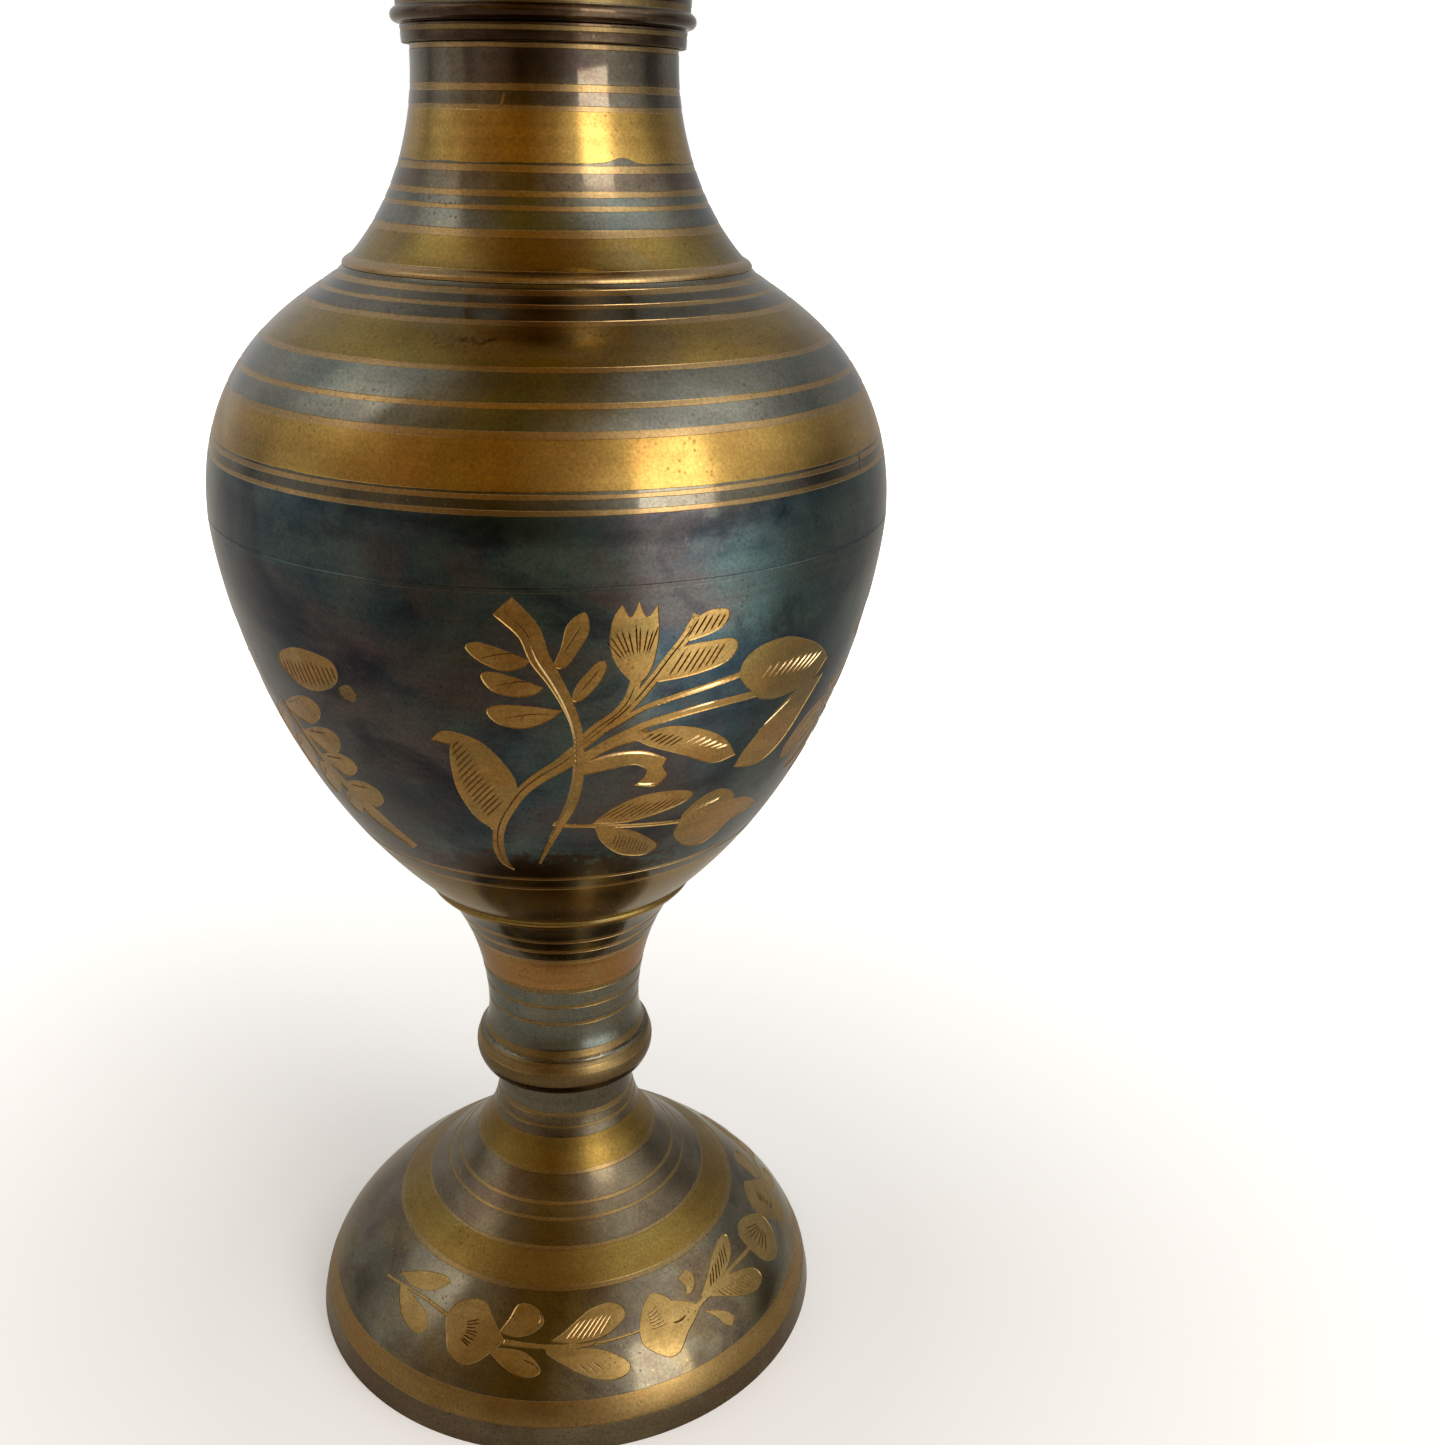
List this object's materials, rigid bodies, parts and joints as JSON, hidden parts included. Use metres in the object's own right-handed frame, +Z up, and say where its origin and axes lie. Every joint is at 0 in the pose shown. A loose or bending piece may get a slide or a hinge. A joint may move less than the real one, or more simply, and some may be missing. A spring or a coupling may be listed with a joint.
{
  "type": "footed vase",
  "caption": "Footed brass vase with an urn-shaped bowl on a knopped stem, a narrow neck with a collar and a flared mouth, engraved and turned with blackened bands.",
  "frame": {"origin": "centre of the foot's resting face, on the vase's axis", "axes": "+Z up along the axis of rotation; the main flower spray of the bowl faces -Y"},
  "size_m": [0.0958, 0.0958, 0.2485],
  "materials": {
    "patinated_brass": "aged brass with turned bright lines and blackened bands",
    "plated_steel": "dull zinc plate",
    "braze": "pale brazing metal, as run"
  },
  "bodies": {
    "root": {"foot": "patinated_brass", "stem": "patinated_brass", "bowl_lower": "patinated_brass", "bowl_upper": "patinated_brass", "neck": "patinated_brass", "mouth": "patinated_brass", "foot_stud": "plated_steel", "foot_washer": "plated_steel", "foot_nut": "plated_steel", "stem_braze": "braze", "belly_braze": "braze", "shoulder_braze": "braze", "collar_braze": "braze"}
  },
  "joints": []
}
